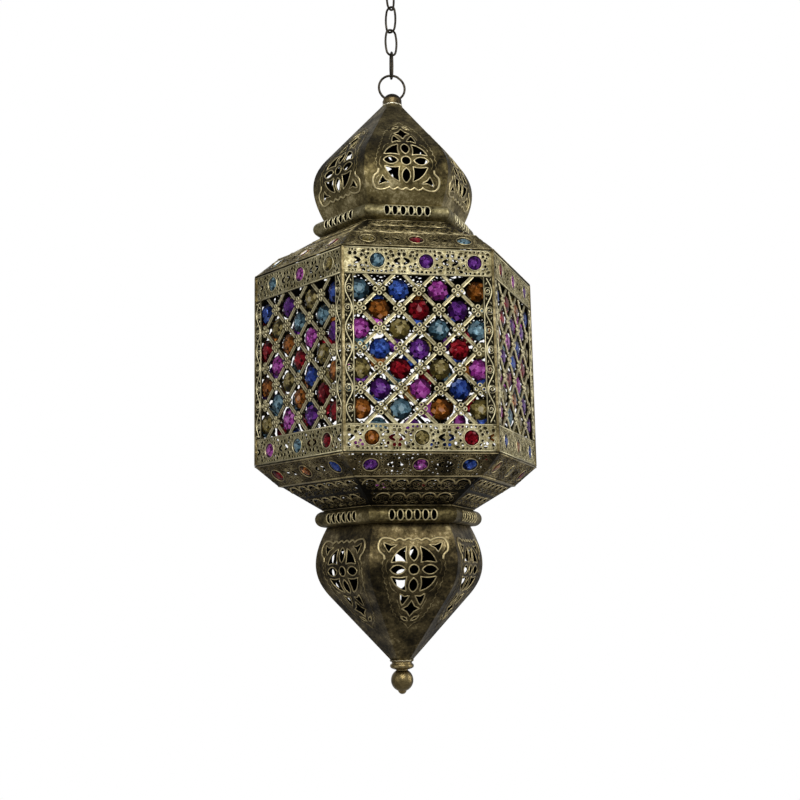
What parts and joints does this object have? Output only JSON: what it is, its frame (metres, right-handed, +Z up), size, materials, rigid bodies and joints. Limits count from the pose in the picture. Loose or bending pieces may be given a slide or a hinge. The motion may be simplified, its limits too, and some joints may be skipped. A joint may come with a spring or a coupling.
{
  "type": "hanging lantern",
  "caption": "Six-sided hanging lantern of pierced brass with two onion domes, jewelled lattice sides, a hinged door, a candle cup inside, and a chain with an S-hook.",
  "frame": {"origin": "the seat inside the upper curl of the S-hook, where the lantern hangs from its support", "axes": "+Z up along the hanging line; the front side of the drum faces -Y, and the door is the side that faces back left, its normal 150 degrees counter-clockwise from +X"},
  "size_m": [0.25, 0.2212, 0.6826],
  "materials": {
    "antique_brass": "aged, satin",
    "bright_brass": "rubbed, satin",
    "shaded_brass": "dark patina",
    "dark_bronze": "blackened, satin",
    "red_stone": "faceted, clear",
    "amber_stone": "faceted, clear",
    "olive_stone": "faceted, clear",
    "teal_stone": "faceted, clear",
    "blue_stone": "faceted, clear",
    "violet_stone": "faceted, clear",
    "magenta_stone": "faceted, clear"
  },
  "bodies": {
    "hook": {"s_hook": "dark_bronze"},
    "link_1": {"chain_link_1": "dark_bronze"},
    "link_2": {"chain_link_2": "dark_bronze"},
    "link_3": {"chain_link_3": "dark_bronze"},
    "link_4": {"chain_link_4": "dark_bronze"},
    "ring": {"split_ring": "dark_bronze"},
    "lantern": {"top_knob": "shaded_brass", "upper_gore_front": "antique_brass", "upper_gore_front_right": "antique_brass", "upper_gore_back_right": "antique_brass", "upper_gore_back": "antique_brass", "upper_gore_back_left": "antique_brass", "upper_gore_front_left": "antique_brass", "upper_collar": "antique_brass", "upper_pierced_band": "antique_brass", "upper_gem_band": "antique_brass", "corner_posts": "bright_brass", "drum_rims": "shaded_brass", "front_panel": "bright_brass", "front_right_panel": "bright_brass", "back_right_panel": "bright_brass", "back_panel": "bright_brass", "front_left_panel": "bright_brass", "front_lattice": "antique_brass", "front_right_lattice": "antique_brass", "back_right_lattice": "antique_brass", "back_lattice": "antique_brass", "front_left_lattice": "antique_brass", "lower_gem_band": "shaded_brass", "lower_pierced_band": "shaded_brass", "lower_collar": "antique_brass", "lower_gore_front": "shaded_brass", "lower_gore_front_right": "shaded_brass", "lower_gore_back_right": "shaded_brass", "lower_gore_back": "shaded_brass", "lower_gore_back_left": "shaded_brass", "lower_gore_front_left": "shaded_brass", "finial_flange": "bright_brass", "finial_ball": "bright_brass", "candle_tray": "shaded_brass", "candle_cup": "antique_brass", "frame_hinge_leaves": "shaded_brass", "hinge_pins": "dark_bronze", "red_stones": "red_stone", "amber_stones": "amber_stone", "olive_stones": "olive_stone", "teal_stones": "teal_stone", "blue_stones": "blue_stone", "violet_stones": "violet_stone", "magenta_stones": "magenta_stone"},
    "door": {"door_panel": "bright_brass", "door_lattice": "antique_brass", "door_hinge_leaves": "shaded_brass", "door_red_stones": "red_stone", "door_amber_stones": "amber_stone", "door_teal_stones": "teal_stone", "door_blue_stones": "blue_stone", "door_violet_stones": "violet_stone"},
    "latch": {"latch_thumb_turn": "bright_brass", "latch_tongue": "dark_bronze"}
  },
  "joints": [
    {"name": "link_1_on_hook", "type": "hinge", "parent": "hook", "child": "link_1", "pos_m": [0, 0, -0.0386], "axis": [0.6909, -0.723, 0], "range_deg": [-30, 30]},
    {"name": "link_2_on_link_1", "type": "hinge", "parent": "link_1", "child": "link_2", "pos_m": [0, 0, -0.0607], "axis": [0.723, 0.6909, 0], "range_deg": [-30, 30]},
    {"name": "link_3_on_link_2", "type": "hinge", "parent": "link_2", "child": "link_3", "pos_m": [0, 0, -0.0832], "axis": [0.6909, -0.723, 0], "range_deg": [-30, 30]},
    {"name": "link_4_on_link_3", "type": "hinge", "parent": "link_3", "child": "link_4", "pos_m": [0, 0, -0.1057], "axis": [0.9715, 0.2368, 0], "range_deg": [-30, 30]},
    {"name": "ring_on_link_4", "type": "hinge", "parent": "link_4", "child": "ring", "pos_m": [0, 0, -0.1282], "axis": [0, 1, 0], "range_deg": [-30, 30]},
    {"name": "lantern_on_ring", "type": "hinge", "parent": "ring", "child": "lantern", "pos_m": [0, 0, -0.1498], "axis": [1, 0, 0], "range_deg": [-25, 25]},
    {"name": "door_hinge", "type": "hinge", "parent": "lantern", "child": "door", "pos_m": [-0.0638, 0.11051, -0.4037], "axis": [0, 0, -1], "range_deg": [0, 115]},
    {"name": "latch_turn", "type": "hinge", "parent": "door", "child": "latch", "pos_m": [-0.12115, 0.00505, -0.4747], "axis": [-0.866, 0.5, 0], "range_deg": [0, 90]}
  ]
}
